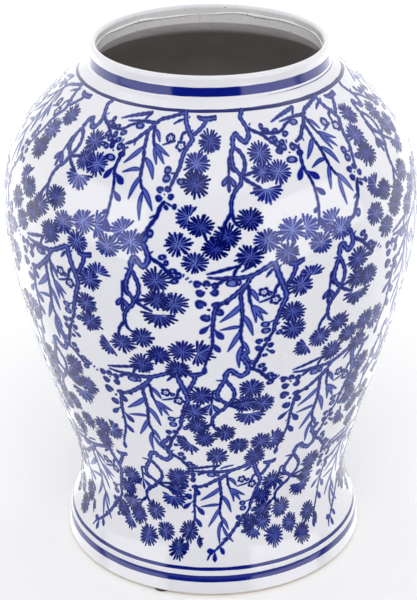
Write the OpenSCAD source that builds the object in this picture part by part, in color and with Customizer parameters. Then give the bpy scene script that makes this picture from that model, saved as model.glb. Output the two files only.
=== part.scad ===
// Open ginger jar: a baluster-shaped porcelain jar with a short neck, on three stick-on pads.
// Five porcelain sections are made on the wheel, each a surface of revolution about Z, and
// luted to each other with slip before the one firing that joins them.
// Millimetres. Z = 0 is the plane the pads stand on, and the jar's axis is the Z axis.
// Heights in the porcelain sections are measured from the underside of the foot.

/* [Body] */
// Largest radius of the body
belly_r = 133.5; // [125:0.5:145]
// Height of the largest radius, where the two body sections are luted
belly_z = 243; // [220:1:260]
// Smallest radius of the body, above the foot
waist_r = 91; // [84:0.5:96]
// Height of the smallest radius
waist_z = 50; // [40:1:60]
// How long the wall stays upright above the waist
rise_low = 29; // [15:1:45]
// How long the wall stays upright below the belly
rise_high = 69; // [50:1:90]
// How long the wall stays upright above the belly
dome_low = 39; // [30:1:50]
// How far the shoulder keeps its slope below the neck
dome_high = 46; // [30:1:50]
// Slope of the shoulder where it meets the neck, in degrees below level
shoulder_slope = 40; // [30:1:50]
// Wall thickness at the waist and below it
waist_wall = 8; // [6:0.5:10]
// Wall thickness at the belly
belly_wall = 5.5; // [4:0.5:7]

/* [Neck and lip] */
// Outer radius of the neck at its foot
neck_r = 76; // [72:0.5:80]
// How much narrower the neck is under the lip than at its foot
neck_taper = 0.8; // [0:0.1:2]
// Wall thickness of the neck and of the shoulder next to it
neck_wall = 5; // [3.5:0.5:6]
// Height where the fillet ends and the neck stands upright
neck_z = 336; // [332:1:339]
// Radius where the shoulder ends and the fillet to the neck starts
shoulder_end_r = 83; // [81:0.5:88]
// Height where the shoulder ends and the fillet to the neck starts
shoulder_end_z = 330; // [325:1:331]
// Height of the joint between the neck and the lip
lip_z = 342; // [340:0.5:344]
// How far the rolled lip stands out from the neck
lip_overhang = 0.3; // [0:0.1:1.5]
// Height of the jar without its pads
jar_h = 348; // [348:1:356]

/* [Foot and floor] */
// Outer radius of the foot where it meets the ground
foot_r = 101; // [96:0.5:108]
// Outer radius of the foot ring's upper edge
foot_top_r = 100.4; // [96:0.1:108]
// Height of the foot ring
foot_h = 8; // [6:0.5:12]
// Inner radius of the foot ring at the ground
foot_in_r = 88; // [86:0.5:90]
// Inner radius of the foot ring's upper edge
foot_in_top_r = 86; // [84:0.5:88]
// How far the flare stays upright above the foot ring
flare_low = 14; // [8:1:20]
// How far the flare stays upright below the waist
flare_high = 28; // [18:1:30]
// Thickness of the floor slab
floor_t = 8; // [6:0.5:12]

/* [Pads] */
// Thickness of a stick-on pad
pad_t = 2; // [1:0.5:3]
// Diameter of a pad
pad_d = 12; // [8:0.5:12]
// Gap between a pad's edge and the foot's outer edge
pad_inset = 0.5; // [0:0.1:1]
// Direction of the first pad, in degrees from +X
pad_turn = 249; // [0:1:360]

/* [Hidden] */
$fn = 128;
curve_steps = 16;
pad_count = 3;
glaze_white = [0.90, 0.90, 0.93];
bare_clay = [0.80, 0.77, 0.72];
pad_black = [0.12, 0.12, 0.13];

neck_top_r = neck_r - neck_taper;
lip_r = neck_top_r + lip_overhang;
mouth_r = neck_r - neck_wall;
floor_r = waist_r - waist_wall;
lip_round = (lip_r - mouth_r) / 2;
pad_ring_r = foot_r - pad_inset - pad_d / 2;
fillet_reach = 2.4;

slope_down = [cos(shoulder_slope), -sin(shoulder_slope)];
foot_top = [foot_top_r, foot_h];
waist = [waist_r, waist_z];
belly = [belly_r, belly_z];
shoulder_end = [shoulder_end_r, shoulder_end_z];
neck_foot = [neck_r, neck_z];

// Each stretch of the outer wall is one cubic curve, from its lower end to its upper end
flare = [foot_top, foot_top + [0, flare_low], waist - [0, flare_high], waist];
rise = [waist, waist + [0, rise_low], belly - [0, rise_high], belly];
dome = [belly, belly + [0, dome_low], shoulder_end + dome_high * slope_down, shoulder_end];
fillet = [shoulder_end, shoulder_end - fillet_reach * slope_down,
          neck_foot - [0, fillet_reach], neck_foot];

function curve_point(c, t) =
    pow(1 - t, 3) * c[0] + 3 * pow(1 - t, 2) * t * c[1] + 3 * (1 - t) * t * t * c[2] + pow(t, 3) * c[3];
function curve_slope(c, t) =
    pow(1 - t, 2) * (c[1] - c[0]) + 2 * (1 - t) * t * (c[2] - c[1]) + t * t * (c[3] - c[2]);
function inward(v) = [-v[1], v[0]] / norm(v);
function reversed(list) = [for (i = [len(list) - 1 : -1 : 0]) list[i]];

// Points up the outer face of a stretch, and up its inner face at a wall that goes from t0 to t1
function outer_face(c) = [for (i = [0 : curve_steps]) curve_point(c, i / curve_steps)];
function inner_face(c, t0, t1) =
    [for (i = [0 : curve_steps])
        let (t = i / curve_steps)
        curve_point(c, t) + (t0 + (t1 - t0) * t) * inward(curve_slope(c, t))];
function without_first(list) = [for (i = [1 : len(list) - 1]) list[i]];

// Quarter turns and half turns of a lip or an edge, as points on a circle
function arc_points(centre, radius, from, to, steps) =
    [for (i = [0 : steps])
        let (a = from + (to - from) * i / steps)
        centre + radius * [cos(a), sin(a)]];

// A section of the jar: its outline is turned about the axis and stands on the pads
module section(outline) {
    translate([0, 0, pad_t])
        rotate_extrude()
            polygon(outline);
}

// Rolled lip, luted on the neck
module lip_ring() {
    color(glaze_white)
        section(concat(
            [[mouth_r, lip_z], [neck_top_r, lip_z]],
            arc_points([lip_r - lip_round, jar_h - lip_round], lip_round, 0, 180, curve_steps)));
}

// Short upright neck, with the fillet that runs into the shoulder
module neck_collar() {
    color(glaze_white)
        section(concat(
            outer_face(fillet),
            [[neck_top_r, lip_z], [mouth_r, lip_z]],
            reversed(inner_face(fillet, neck_wall, neck_wall))));
}

// Domed upper half of the body, from the belly joint to the neck
module upper_body() {
    color(glaze_white)
        section(concat(
            outer_face(dome),
            reversed(inner_face(dome, belly_wall, neck_wall))));
}

// Lower half of the body, from the foot ring through the waist to the belly joint
module lower_body() {
    color(glaze_white)
        section(concat(
            outer_face(flare),
            without_first(outer_face(rise)),
            reversed(inner_face(rise, waist_wall, belly_wall)),
            [[floor_r, foot_h]]));
}

// Round slab that closes the bottom of the jar
module floor_slab() {
    color(glaze_white)
        translate([0, 0, pad_t + foot_h])
            cylinder(h = floor_t, r = floor_r);
}

// Turned ring that the jar stands on, bare clay underneath
module foot_ring() {
    color(bare_clay)
        section([[foot_in_r, 0], [foot_r, 0], foot_top, [foot_in_top_r, foot_h]]);
}

// One stick-on pad under the foot ring
module foot_pad(index) {
    color(pad_black)
        rotate([0, 0, pad_turn + index * 360 / pad_count])
            translate([pad_ring_r, 0, 0])
                cylinder(h = pad_t, r = pad_d / 2);
}

lip_ring();
neck_collar();
upper_body();
lower_body();
floor_slab();
foot_ring();
foot_pad(0);  // foot_pad_1
foot_pad(1);  // foot_pad_2
foot_pad(2);  // foot_pad_3
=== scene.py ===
"""Open ginger jar: glazed porcelain with a pine, plum and bamboo pattern painted under the glaze.

The jar stands on the CAD frame: +Z up, the jar's axis is the Z axis, the pads stand on Z = 0.
Lengths in this script are millimetres and become metres (MM) where a mesh is made.
A place on the outer wall is given by theta, the turn from the front (-Y) towards +X, and by s, the
length along the outer wall from the foot's underside. The painting is drawn flat: x is theta times
DRAWING_R, so it counts round the jar to the right, and y counts down the wall from the lip.
"""
import math

import bpy
import numpy as np
from mathutils import Matrix, Vector


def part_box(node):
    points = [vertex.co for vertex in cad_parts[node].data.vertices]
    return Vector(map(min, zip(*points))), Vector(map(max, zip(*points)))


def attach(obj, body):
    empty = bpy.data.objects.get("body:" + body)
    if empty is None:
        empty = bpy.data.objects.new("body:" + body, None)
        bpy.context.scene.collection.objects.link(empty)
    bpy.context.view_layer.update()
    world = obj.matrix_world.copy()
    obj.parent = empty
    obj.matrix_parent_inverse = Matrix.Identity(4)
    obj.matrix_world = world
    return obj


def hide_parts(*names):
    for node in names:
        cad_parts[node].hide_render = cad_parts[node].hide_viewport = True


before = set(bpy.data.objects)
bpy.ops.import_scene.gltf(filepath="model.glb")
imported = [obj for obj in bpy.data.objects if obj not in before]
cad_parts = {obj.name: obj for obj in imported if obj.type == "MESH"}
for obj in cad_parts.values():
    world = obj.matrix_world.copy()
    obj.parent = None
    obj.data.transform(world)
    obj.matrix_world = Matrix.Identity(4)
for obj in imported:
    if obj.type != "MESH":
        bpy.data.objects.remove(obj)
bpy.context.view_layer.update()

MM = 0.001


def node_top(node):
    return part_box(node)[1].z / MM


def node_foot(node):
    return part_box(node)[0].z / MM


def node_radius(node):
    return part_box(node)[1].x / MM


# ---------------- sizes of the porcelain, from the frame
PAD_TOP = node_foot("foot_ring")
JAR_TOP = node_top("lip_ring")
FOOT_R = node_radius("foot_ring")
FOOT_H = node_top("foot_ring") - PAD_TOP
BELLY_R = node_radius("upper_body")
BELLY_Z = node_top("lower_body")
SHOULDER_Z = node_top("upper_body")
LIP_Z = node_foot("lip_ring")
LIP_R = node_radius("lip_ring")
FLOOR_R = node_radius("floor_slab")
FLOOR_Z = node_foot("floor_slab")
FLOOR_TOP = node_top("floor_slab")

# The rest of the outline: radii (R), heights (Z), the reach of each curve's handles at its low and
# its high end, and the thickness of the walls
FOOT_TOP_R = 100.4
FOOT_IN_R = 88.0
FOOT_IN_TOP_R = 86.0
WAIST_R = 91.0
WAIST_Z = PAD_TOP + 50.0
FLARE_LOW = 14.0
FLARE_HIGH = 28.0
RISE_LOW = 29.0
RISE_HIGH = 69.0
DOME_LOW = 39.0
DOME_HIGH = 46.0
SHOULDER_SLOPE = math.radians(40.0)
SHOULDER_R = 83.0
NECK_FOOT_R = 76.0
NECK_FOOT_Z = PAD_TOP + 336.0
NECK_TOP_R = 75.2
MOUTH_R = 71.0
LIP_RISE = 3.75
FILLET_REACH = 2.4
WAIST_WALL = 8.0
BELLY_WALL = 5.5
NECK_WALL = 5.0
DRAWING_R = 120.0

# How far the glaze lies inside the CAD outline, so that its unevenness stays inside as well
GLAZE_DROP = 0.22
# The meshes' fineness: faces round a section, their height, and the steps that the curves are
# measured in
TURNS = 384
RING_STEP = 2.2
CURVE_STEPS = 240
FINE_STEPS = 400
# The step up the wall and the turn that a normal is measured over
NORMAL_STEP = 0.4
NORMAL_TURN = 0.003


# ---------------- outline of the walls
def cubic(curve, t):
    """Points of a curve with two ends and two handles, at the parameters t."""
    a, b, c, d = (np.array(p, float) for p in curve)
    t = np.asarray(t, float)[:, None]
    return (1 - t) ** 3 * a + 3 * (1 - t) ** 2 * t * b + 3 * (1 - t) * t * t * c + t ** 3 * d


def cubic_slope(curve, t):
    """Its unit directions."""
    a, b, c, d = (np.array(p, float) for p in curve)
    t = np.asarray(t, float)[:, None]
    slope = (1 - t) ** 2 * (b - a) + 2 * (1 - t) * t * (c - b) + t * t * (d - c)
    return slope / np.linalg.norm(slope, axis=1)[:, None]


def wall_curves():
    """The four curves of the outer wall, each from its lower end to its upper end."""
    down = (math.cos(SHOULDER_SLOPE), -math.sin(SHOULDER_SLOPE))
    foot = (FOOT_TOP_R, PAD_TOP + FOOT_H)
    waist = (WAIST_R, WAIST_Z)
    belly = (BELLY_R, BELLY_Z)
    shoulder = (SHOULDER_R, SHOULDER_Z)
    neck = (NECK_FOOT_R, NECK_FOOT_Z)
    return {
        "flare": [foot, (foot[0], foot[1] + FLARE_LOW), (waist[0], waist[1] - FLARE_HIGH), waist],
        "rise": [waist, (waist[0], waist[1] + RISE_LOW), (belly[0], belly[1] - RISE_HIGH), belly],
        "dome": [belly, (belly[0], belly[1] + DOME_LOW),
                 (shoulder[0] + DOME_HIGH * down[0], shoulder[1] + DOME_HIGH * down[1]), shoulder],
        "fillet": [shoulder, (shoulder[0] - FILLET_REACH * down[0],
                              shoulder[1] - FILLET_REACH * down[1]),
                   (neck[0], neck[1] - FILLET_REACH), neck],
    }


CURVES = wall_curves()


def even_steps(curve, step=RING_STEP):
    """Parameters along a curve, evenly spaced in length."""
    t = np.linspace(0, 1, FINE_STEPS)
    points = cubic(curve, t)
    length = np.concatenate([[0], np.cumsum(np.linalg.norm(np.diff(points, axis=0), axis=1))])
    count = max(4, round(length[-1] / step))
    return np.interp(np.linspace(0, length[-1], count + 1), length, t)


def outer_run(name):
    return cubic(CURVES[name], even_steps(CURVES[name]))


def inner_run(name, wall_low, wall_high):
    """The inner face of a stretch, downwards, at a wall that goes from wall_low to wall_high."""
    t = even_steps(CURVES[name])
    slope = cubic_slope(CURVES[name], t)
    inward = np.stack([-slope[:, 1], slope[:, 0]], 1)
    wall = wall_low + (wall_high - wall_low) * t[:, None]
    return (cubic(CURVES[name], t) + wall * inward)[::-1]


def arc_run(centre, radius, start, end, steps):
    a = np.radians(np.linspace(start, end, steps + 1))
    return np.stack([centre[0] + radius * np.cos(a), centre[1] + radius * np.sin(a)], 1)


def line_run(a, b, steps=1):
    t = np.linspace(0, 1, steps + 1)[:, None]
    return np.array(a, float) * (1 - t) + np.array(b, float) * t


def whole_wall():
    """The outer wall from the foot's underside to just under the lip's roll, and its length at each
    point."""
    parts = [line_run((FOOT_R, PAD_TOP), (FOOT_TOP_R, PAD_TOP + FOOT_H), 8)]
    for name in ("flare", "rise", "dome", "fillet"):
        parts.append(cubic(CURVES[name], np.linspace(0, 1, CURVE_STEPS))[1:])
    parts.append(line_run((NECK_FOOT_R, NECK_FOOT_Z), (NECK_TOP_R, LIP_Z), 8)[1:])
    parts.append(line_run((NECK_TOP_R, LIP_Z), (LIP_R, LIP_Z + LIP_RISE), 4)[1:])
    points = np.concatenate(parts)
    length = np.concatenate([[0], np.cumsum(np.linalg.norm(np.diff(points, axis=0), axis=1))])
    return points, length


WALL, WALL_S = whole_wall()
WALL_LENGTH = float(WALL_S[-1])


def wall_s(z):
    """Length along the wall at a height."""
    return float(np.interp(z, WALL[:, 1], WALL_S))


def unevenness(theta, z):
    """How far the hand-turned wall lies inside its ideal outline: broad waves and faint turning
    rings."""
    broad = np.sin(2 * theta + z * 0.021) + np.sin(3 * theta - z * 0.034 + 1.3)
    rings = np.sin(z * 0.83 + 0.35 * np.sin(theta)) * 0.5 + np.sin(z * 0.37 + 2.0)
    return GLAZE_DROP + 0.022 * broad + 0.008 * rings


def on_wall(theta, s):
    """Points on the outer wall, in millimetres."""
    z = np.interp(s, WALL_S, WALL[:, 1])
    r = np.interp(s, WALL_S, WALL[:, 0]) - unevenness(theta, z)
    return np.stack([r * np.sin(theta), -r * np.cos(theta), z], -1)


def wall_normal(theta, s):
    """The outer wall's normals, from points a little way apart."""
    s = np.clip(s, NORMAL_STEP, WALL_LENGTH - NORMAL_STEP)
    across = on_wall(theta + NORMAL_TURN, s) - on_wall(theta - NORMAL_TURN, s)
    up = on_wall(theta, s + NORMAL_STEP) - on_wall(theta, s - NORMAL_STEP)
    normal = np.cross(across, up)
    return normal / np.linalg.norm(normal, axis=-1)[..., None]


# ---------------- mesh making
def add_object(name, data):
    made = bpy.data.objects.new(name, data)
    bpy.context.scene.collection.objects.link(made)
    return made


def make_object(name, points, faces, normals=None, corner_normals=None, materials=(),
                face_material=None):
    """A mesh piece from millimetre points. normals are one a vertex; corner_normals one a face
    corner."""
    mesh = bpy.data.meshes.new(name)
    mesh.from_pydata((np.asarray(points) * MM).tolist(), [], faces)
    mesh.polygons.foreach_set("use_smooth", [True] * len(mesh.polygons))
    for material in materials:
        mesh.materials.append(material)
    if face_material is not None:
        mesh.polygons.foreach_set("material_index", face_material)
    if normals is not None:
        mesh.normals_split_custom_set_from_vertices(np.asarray(normals).tolist())
    if corner_normals is not None:
        mesh.normals_split_custom_set(np.asarray(corner_normals).tolist())
    mesh.update()
    return add_object(name, mesh)


def run_normals(run):
    """Normals of an outline's stretch, to the right of its direction."""
    slope = np.gradient(run, axis=0)
    normal = np.stack([slope[:, 1], -slope[:, 0]], 1)
    return normal / np.linalg.norm(normal, axis=1)[:, None]


def lathe(name, runs, materials, turns=TURNS, centre=(0.0, 0.0)):
    """A closed turned solid. runs are stretches (points, material index, on_wall) that follow one
    another round the outline: up the outside, across the top, down the inside, across the bottom. A
    stretch that is on the outer wall takes the wall's own unevenness and normals, so that sections
    meet without a step."""
    theta = np.arange(turns) * 2 * math.pi / turns
    ring_points, ring_runs = [], []
    for points, material, outer in runs:
        ring_runs.append((len(ring_points), len(points), material, outer))
        ring_points.extend(points[:-1].tolist())
    total = len(ring_points)
    outline = np.array(ring_points)
    r = np.repeat(outline[:, 0:1], turns, 1)
    z = np.repeat(outline[:, 1:2], turns, 1)
    angle = np.repeat(theta[None, :], total, 0)
    for start, count, material, outer in ring_runs:
        if outer:
            rows = np.arange(start, start + count) % total
            r[rows] = outline[rows, 0:1] - unevenness(angle[rows], z[rows])
    points = np.stack([r * np.sin(angle) + centre[0], -r * np.cos(angle) + centre[1], z],
                      -1).reshape(-1, 3)
    j = np.arange(turns)
    k = (j + 1) % turns
    faces, corner_normals, face_material = [], [], []
    for start, count, material, outer in ring_runs:
        stretch = outline[np.arange(start, start + count) % total]
        if outer:
            s = np.array([wall_s(height) for height in stretch[:, 1]])
            normal = wall_normal(np.repeat(theta[None, :], count, 0),
                                 np.repeat(s[:, None], turns, 1))
        else:
            flat = run_normals(stretch)
            normal = np.stack([flat[:, 0:1] * np.sin(theta), -flat[:, 0:1] * np.cos(theta),
                               np.repeat(flat[:, 1:2], turns, 1)], -1)
        for i in range(count - 1):
            low = (start + i) % total * turns
            high = (start + i + 1) % total * turns
            faces.append(np.stack([low + j, low + k, high + k, high + j], 1))
            corner_normals.append(np.stack([normal[i, j], normal[i, k], normal[i + 1, k],
                                            normal[i + 1, j]], 1))
            face_material.extend([material] * turns)
    faces = np.concatenate(faces).tolist()
    corner_normals = np.concatenate(corner_normals).reshape(-1, 3)
    return make_object(name, points, faces, corner_normals=corner_normals, materials=materials,
                       face_material=face_material)


# ---------------- materials
def linear(red, green, blue):
    """A colour given in 0 to 255 display values, as Blender's linear colour."""
    def one(v):
        v = v / 255
        return v / 12.92 if v <= 0.04045 else ((v + 0.055) / 1.055) ** 2.4
    return (one(red), one(green), one(blue), 1.0)


def new_material(name, roughness):
    material = bpy.data.materials.new(name)
    material.use_nodes = True
    nodes = material.node_tree.nodes
    shader = nodes["Principled BSDF"]
    shader.inputs["Roughness"].default_value = roughness
    return material, nodes, material.node_tree.links, shader


def noise(nodes, links, scale, detail=3.0, stretch=None):
    """Noise in the object's own metres. stretch scales the coordinates along X, Y and Z."""
    place = nodes.new("ShaderNodeTexCoord")
    texture = nodes.new("ShaderNodeTexNoise")
    texture.inputs["Scale"].default_value = scale
    texture.inputs["Detail"].default_value = detail
    if stretch is None:
        links.new(place.outputs["Object"], texture.inputs["Vector"])
    else:
        mapping = nodes.new("ShaderNodeMapping")
        mapping.inputs["Scale"].default_value = stretch
        links.new(place.outputs["Object"], mapping.inputs["Vector"])
        links.new(mapping.outputs["Vector"], texture.inputs["Vector"])
    return texture.outputs["Fac"]


def ramp(nodes, links, factor, stops):
    """A colour ramp with stops (position, colour)."""
    node = nodes.new("ShaderNodeValToRGB")
    elements = node.color_ramp.elements
    while len(elements) < len(stops):
        elements.new(0.5)
    for element, (position, colour) in zip(elements, stops):
        element.position = position
        element.color = colour
    links.new(factor, node.inputs["Fac"])
    return node.outputs["Color"]


def mix(nodes, links, factor, a, b, blend="MIX"):
    """a and b mixed by factor. Each may be a socket or a plain value."""
    node = nodes.new("ShaderNodeMix")
    node.data_type = "RGBA"
    node.blend_type = blend
    for socket, value in ((node.inputs[0], factor), (node.inputs[6], a), (node.inputs[7], b)):
        if isinstance(value, bpy.types.NodeSocket):
            links.new(value, socket)
        else:
            socket.default_value = value
    return node.outputs[2]


def bump(nodes, links, shader, height, strength, distance):
    node = nodes.new("ShaderNodeBump")
    node.inputs["Strength"].default_value = strength
    node.inputs["Distance"].default_value = distance
    links.new(height, node.inputs["Height"])
    links.new(node.outputs["Normal"], shader.inputs["Normal"])


def spread(nodes, links, factor, low, high):
    """Maps 0..1 to low..high."""
    node = nodes.new("ShaderNodeMapRange")
    node.inputs["To Min"].default_value = low
    node.inputs["To Max"].default_value = high
    links.new(factor, node.inputs["Value"])
    return node.outputs["Result"]


def glaze_skin(nodes, links, shader, smooth, rough):
    """The glaze's roughness, which wanders from smooth to rough, and its faint ripple."""
    links.new(spread(nodes, links, noise(nodes, links, 60.0), smooth, rough),
              shader.inputs["Roughness"])
    bump(nodes, links, shader, noise(nodes, links, 75.0, 2.0), 0.12, 0.0006)


def white_glaze_material():
    """Cool white glaze: cloudy where it is thicker, with rare iron specks and a faint ripple."""
    material, nodes, links, shader = new_material("white_glaze", 0.09)
    cloud = ramp(nodes, links, noise(nodes, links, 14.0, 4.0),
                 [(0.3, linear(228, 228, 235)), (0.7, linear(232, 232, 237))])
    specks = ramp(nodes, links, noise(nodes, links, 900.0, 0.0),
                  [(0.0, (1, 1, 1, 1)), (0.85, (1, 1, 1, 1)), (0.88, linear(196, 190, 184))])
    links.new(mix(nodes, links, 1.0, cloud, specks, "MULTIPLY"), shader.inputs["Base Color"])
    glaze_skin(nodes, links, shader, 0.07, 0.13)
    return material


def shaded_inside_material():
    """Matt grey-brown inside the body, darker than the outer glaze: painted shade."""
    material, nodes, links, shader = new_material("inside_painted_shade", 0.55)
    # Painted shade: darker than the outer glaze, so that the jar's hollow looks shaded
    base = ramp(nodes, links, noise(nodes, links, 45.0, 6.0),
                [(0.3, linear(182, 177, 175)), (0.7, linear(196, 191, 189))])
    links.new(base, shader.inputs["Base Color"])
    bump(nodes, links, shader, noise(nodes, links, 180.0, 4.0, (0.25, 0.25, 1.0)), 0.4, 0.001)
    return material


def lit_neck_inside_material():
    """The thin glaze inside the neck: paler than outside, which is painted light, with many fine
    dark specks.
    """
    material, nodes, links, shader = new_material("neck_inside_painted_light", 0.22)
    # Painted light: paler than the outer glaze, so that the inside of the neck looks lit
    base = ramp(nodes, links, noise(nodes, links, 40.0, 5.0),
                [(0.3, linear(240, 238, 240)), (0.7, linear(247, 245, 247))])
    specks = ramp(nodes, links, noise(nodes, links, 900.0, 1.0),
                  [(0.0, (1, 1, 1, 1)), (0.70, (1, 1, 1, 1)), (0.76, linear(90, 84, 84))])
    links.new(mix(nodes, links, 1.0, base, specks, "MULTIPLY"), shader.inputs["Base Color"])
    bump(nodes, links, shader, noise(nodes, links, 240.0, 3.0, (0.3, 0.3, 1.0)), 0.25, 0.0006)
    return material


def bare_clay_material():
    """Unglazed porcelain body: sandy, with rust blush and turning marks."""
    material, nodes, links, shader = new_material("bare_clay", 0.85)
    base = ramp(nodes, links, noise(nodes, links, 60.0, 8.0),
                [(0.25, linear(196, 184, 166)), (0.55, linear(214, 206, 192)),
                 (0.8, linear(206, 186, 160))])
    grit = ramp(nodes, links, noise(nodes, links, 1400.0, 2.0),
                [(0.35, linear(225, 220, 212)), (0.6, (1, 1, 1, 1))])
    links.new(mix(nodes, links, 1.0, base, grit, "MULTIPLY"), shader.inputs["Base Color"])
    bump(nodes, links, shader, noise(nodes, links, 1100.0, 4.0), 0.5, 0.0004)
    return material


def cobalt_material(name, dark, light):
    """Cobalt under the glaze. It goes from dark to light by each mark's own tone, and pools
    unevenly."""
    material, nodes, links, shader = new_material(name, 0.1)
    tone = nodes.new("ShaderNodeAttribute")
    tone.attribute_name = "tone"
    pool = spread(nodes, links, noise(nodes, links, 130.0, 4.0), -0.35, 0.35)
    add = nodes.new("ShaderNodeMath")
    add.operation = "ADD"
    add.use_clamp = True
    links.new(tone.outputs["Fac"], add.inputs[0])
    links.new(pool, add.inputs[1])
    links.new(mix(nodes, links, add.outputs[0], dark, light), shader.inputs["Base Color"])
    glaze_skin(nodes, links, shader, 0.08, 0.14)
    return material


def rubber_material():
    """Black rubber, slightly dusty, with moulded grain."""
    material, nodes, links, shader = new_material("pad_rubber", 0.7)
    base = ramp(nodes, links, noise(nodes, links, 300.0, 5.0),
                [(0.35, linear(34, 34, 36)), (0.7, linear(58, 57, 58))])
    links.new(base, shader.inputs["Base Color"])
    bump(nodes, links, shader, noise(nodes, links, 2600.0, 2.0), 0.4, 0.0002)
    return material


WHITE = white_glaze_material()
INSIDE_SHADED = shaded_inside_material()
NECK_INSIDE_LIT = lit_neck_inside_material()
CLAY = bare_clay_material()
RUBBER = rubber_material()
WASH = cobalt_material("cobalt_wash", linear(34, 52, 158), linear(118, 132, 208))
FILL = cobalt_material("cobalt_fill", linear(26, 42, 144), linear(90, 106, 196))
LINE = cobalt_material("cobalt_line", linear(0, 4, 78), linear(16, 30, 134))
BLEED = cobalt_material("cobalt_bleed", linear(122, 142, 214), linear(168, 182, 230))
BAND = cobalt_material("cobalt_band", linear(1, 11, 98), linear(7, 32, 152))


# ---------------- porcelain sections
def place(piece, slot, *nodes):
    """Every piece of this jar rides on its one body."""
    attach(piece, "root")
    if nodes:
        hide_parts(*nodes)
    return piece


def make_lip_ring():
    roll = (LIP_R - MOUTH_R) / 2
    centre = (LIP_R - roll, JAR_TOP - roll)
    runs = [
        (line_run((NECK_TOP_R, LIP_Z), (LIP_R, centre[1]), 4), 0, True),
        (arc_run(centre, roll, 0, 150, 20), 0, False),
        (arc_run(centre, roll, 150, 180, 4), 1, False),
        (line_run((MOUTH_R, centre[1]), (MOUTH_R, LIP_Z), 4), 1, False),
        (line_run((MOUTH_R, LIP_Z), (NECK_TOP_R, LIP_Z)), 0, False),
    ]
    return place(lathe("porcelain_lip", runs, [WHITE, NECK_INSIDE_LIT]), "white_glaze", "lip_ring")


def make_neck_collar():
    inner = inner_run("fillet", NECK_WALL, NECK_WALL)
    runs = [
        (outer_run("fillet"), 0, True),
        (line_run((NECK_FOOT_R, NECK_FOOT_Z), (NECK_TOP_R, LIP_Z), 4), 0, True),
        (line_run((NECK_TOP_R, LIP_Z), (MOUTH_R, LIP_Z)), 0, False),
        (line_run((MOUTH_R, LIP_Z), inner[0], 4), 1, False),
        (inner, 1, False),
        (line_run(inner[-1], (SHOULDER_R, SHOULDER_Z)), 0, False),
    ]
    return place(lathe("porcelain_neck", runs, [WHITE, NECK_INSIDE_LIT]), "white_glaze", "neck_collar")


def make_upper_body():
    inner = inner_run("dome", BELLY_WALL, NECK_WALL)
    runs = [
        (outer_run("dome"), 0, True),
        (line_run((SHOULDER_R, SHOULDER_Z), inner[0]), 0, False),
        (inner, 1, False),
        (line_run(inner[-1], (BELLY_R, BELLY_Z)), 0, False),
    ]
    return place(lathe("porcelain_upper_body", runs, [WHITE, INSIDE_SHADED]), "white_glaze",
                 "upper_body")


def make_lower_body():
    inner = inner_run("rise", WAIST_WALL, BELLY_WALL)
    foot_z = PAD_TOP + FOOT_H
    runs = [
        (outer_run("flare"), 0, True),
        (outer_run("rise"), 0, True),
        (line_run((BELLY_R, BELLY_Z), inner[0]), 0, False),
        (inner, 1, False),
        (line_run(inner[-1], (FLOOR_R, foot_z), 12), 1, False),
        (line_run((FLOOR_R, foot_z), (FOOT_TOP_R, foot_z)), 0, False),
    ]
    return place(lathe("porcelain_lower_body", runs, [WHITE, INSIDE_SHADED]), "white_glaze",
                 "lower_body")


def make_foot_ring():
    """The foot's wall is glazed down to a wiped edge; the edge, underside and inside are bare
    clay."""
    edge = 0.8
    corner = arc_run((FOOT_R - edge, PAD_TOP + edge), edge, -90, 0, 8)
    top_z = PAD_TOP + FOOT_H
    runs = [
        (corner, 1, False),
        (line_run((FOOT_R, PAD_TOP + edge), (FOOT_TOP_R, top_z), 5), 0, False),
        (line_run((FOOT_TOP_R, top_z), (FOOT_IN_TOP_R, top_z)), 1, False),
        (line_run((FOOT_IN_TOP_R, top_z), (FOOT_IN_R, PAD_TOP + edge), 6), 1, False),
        (arc_run((FOOT_IN_R + edge, PAD_TOP + edge), edge, 180, 270, 8), 1, False),
        (line_run((FOOT_IN_R + edge, PAD_TOP), (FOOT_R - edge, PAD_TOP), 6), 1, False),
    ]
    for index in (0, 1):
        points = runs[index][0]
        points[:, 0] -= GLAZE_DROP
    runs[2][0][0, 0] -= GLAZE_DROP
    runs[5][0][-1, 0] -= GLAZE_DROP
    return place(lathe("porcelain_foot_ring", runs, [WHITE, CLAY]), "white_glaze", "foot_ring")


def make_floor_slab():
    """The floor: bare underneath with turning rings; inside, the darker painted shade of the
    hollow.
    """
    hub = 0.6
    steps = 150
    r = np.linspace(hub, FLOOR_R, steps)
    rings = 0.12 * np.sin(r * 1.9) + 0.08 * np.sin(r * 0.8 + 1.0) + 0.2
    underside = np.stack([r, FLOOR_Z + rings], 1)
    underside[-1, 1] = FLOOR_Z
    top_rings = 0.15 * np.sin(r[::-1] * 0.9) - 0.15
    upper = np.stack([r[::-1], FLOOR_TOP + top_rings], 1)
    runs = [
        (underside, 0, False),
        (line_run(underside[-1], upper[0], 2), 0, False),
        (upper, 1, False),
        (line_run(upper[-1], underside[0]), 0, False),
    ]
    return place(lathe("floor_slab_turned", runs, [CLAY, INSIDE_SHADED], 192), "bare_clay",
                 "floor_slab")


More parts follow.
